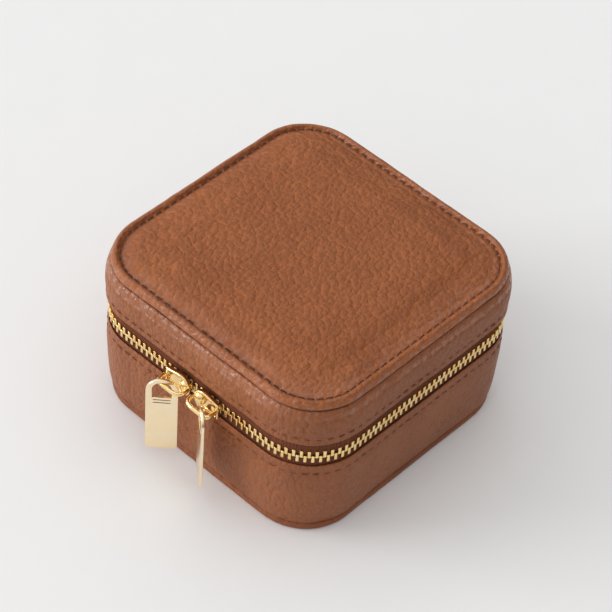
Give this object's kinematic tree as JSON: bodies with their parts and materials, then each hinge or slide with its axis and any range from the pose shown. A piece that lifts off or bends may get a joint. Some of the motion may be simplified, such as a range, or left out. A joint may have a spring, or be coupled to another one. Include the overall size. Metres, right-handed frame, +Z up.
{
  "type": "leather jewellery case",
  "caption": "Square zip-round leather travel jewellery case with hinged mirrored lid, ring rolls, dividers, and twin zip sliders with metal pull tabs.",
  "frame": {"origin": "centre of the flat underside, on the table", "axes": "+Z up; the zip pulls hang on the -Y side, the hinge strip is on the +Y side, +X is to the right seen from the front"},
  "size_m": [0.1, 0.1102, 0.0588],
  "materials": {
    "leather": "pebbled grain, soft sheen",
    "leather_trim": "pebbled grain, soft sheen",
    "zip_metal": "polished pale gold",
    "pull_metal": "polished pale gold",
    "zip_tape": "woven tape",
    "stiff_board": "pressed fibre",
    "foam": "open foam",
    "velvet": "short pile",
    "mirror_glass": "silvered"
  },
  "bodies": {
    "base": {"base_bottom_panel": "leather_trim", "base_core_shell": "stiff_board", "base_padding": "foam", "base_leather_wall": "leather", "base_lining_wall": "velvet", "base_floor_pad": "velvet", "base_zip_tape": "zip_tape", "base_zip_teeth": "zip_metal", "base_zip_stops": "zip_metal", "hinge_strip_lower": "leather_trim", "ring_roll_board": "stiff_board", "ring_roll_1": "velvet", "ring_roll_2": "velvet", "ring_roll_3": "velvet", "ring_roll_4": "velvet", "ring_roll_5": "velvet", "divider_long": "velvet", "divider_cross": "velvet"},
    "lid": {"lid_core_shell": "stiff_board", "lid_wall_padding": "foam", "lid_leather_wall": "leather", "lid_piping": "leather", "lid_top_foam": "foam", "lid_top_leather": "leather", "lid_lining_wall": "velvet", "lid_lining_panel": "velvet", "mirror_frame": "velvet", "mirror": "mirror_glass", "lid_zip_tape": "zip_tape", "lid_zip_teeth": "zip_metal", "lid_zip_stops": "zip_metal", "hinge_strip_upper": "leather_trim"},
    "slider_left": {"slider_left_body": "pull_metal", "slider_left_bridge": "pull_metal"},
    "slider_right": {"slider_right_body": "pull_metal", "slider_right_bridge": "pull_metal"},
    "tab_left": {"pull_tab_left": "pull_metal"},
    "tab_right": {"pull_tab_right": "pull_metal"}
  },
  "joints": [
    {"name": "lid_hinge", "type": "hinge", "parent": "base", "child": "lid", "pos_m": [0, 0.05095, 0.0358], "axis": [-1, 0, 0], "range_deg": [0, 110]},
    {"name": "left_slider_run", "type": "slide", "parent": "base", "child": "slider_left", "axis": [-1, 0, 0], "range_m": [0, 0.016]},
    {"name": "right_slider_run", "type": "slide", "parent": "base", "child": "slider_right", "axis": [1, 0, 0], "range_m": [0, 0.016]},
    {"name": "left_tab_swing", "type": "hinge", "parent": "slider_left", "child": "tab_left", "pos_m": [-0.0069, -0.0556, 0.0362], "axis": [-1, 0, 0], "range_deg": [0, 80]},
    {"name": "right_tab_swing", "type": "hinge", "parent": "slider_right", "child": "tab_right", "pos_m": [0.0099, -0.0556, 0.0362], "axis": [-1, 0, 0], "range_deg": [0, 80]}
  ]
}
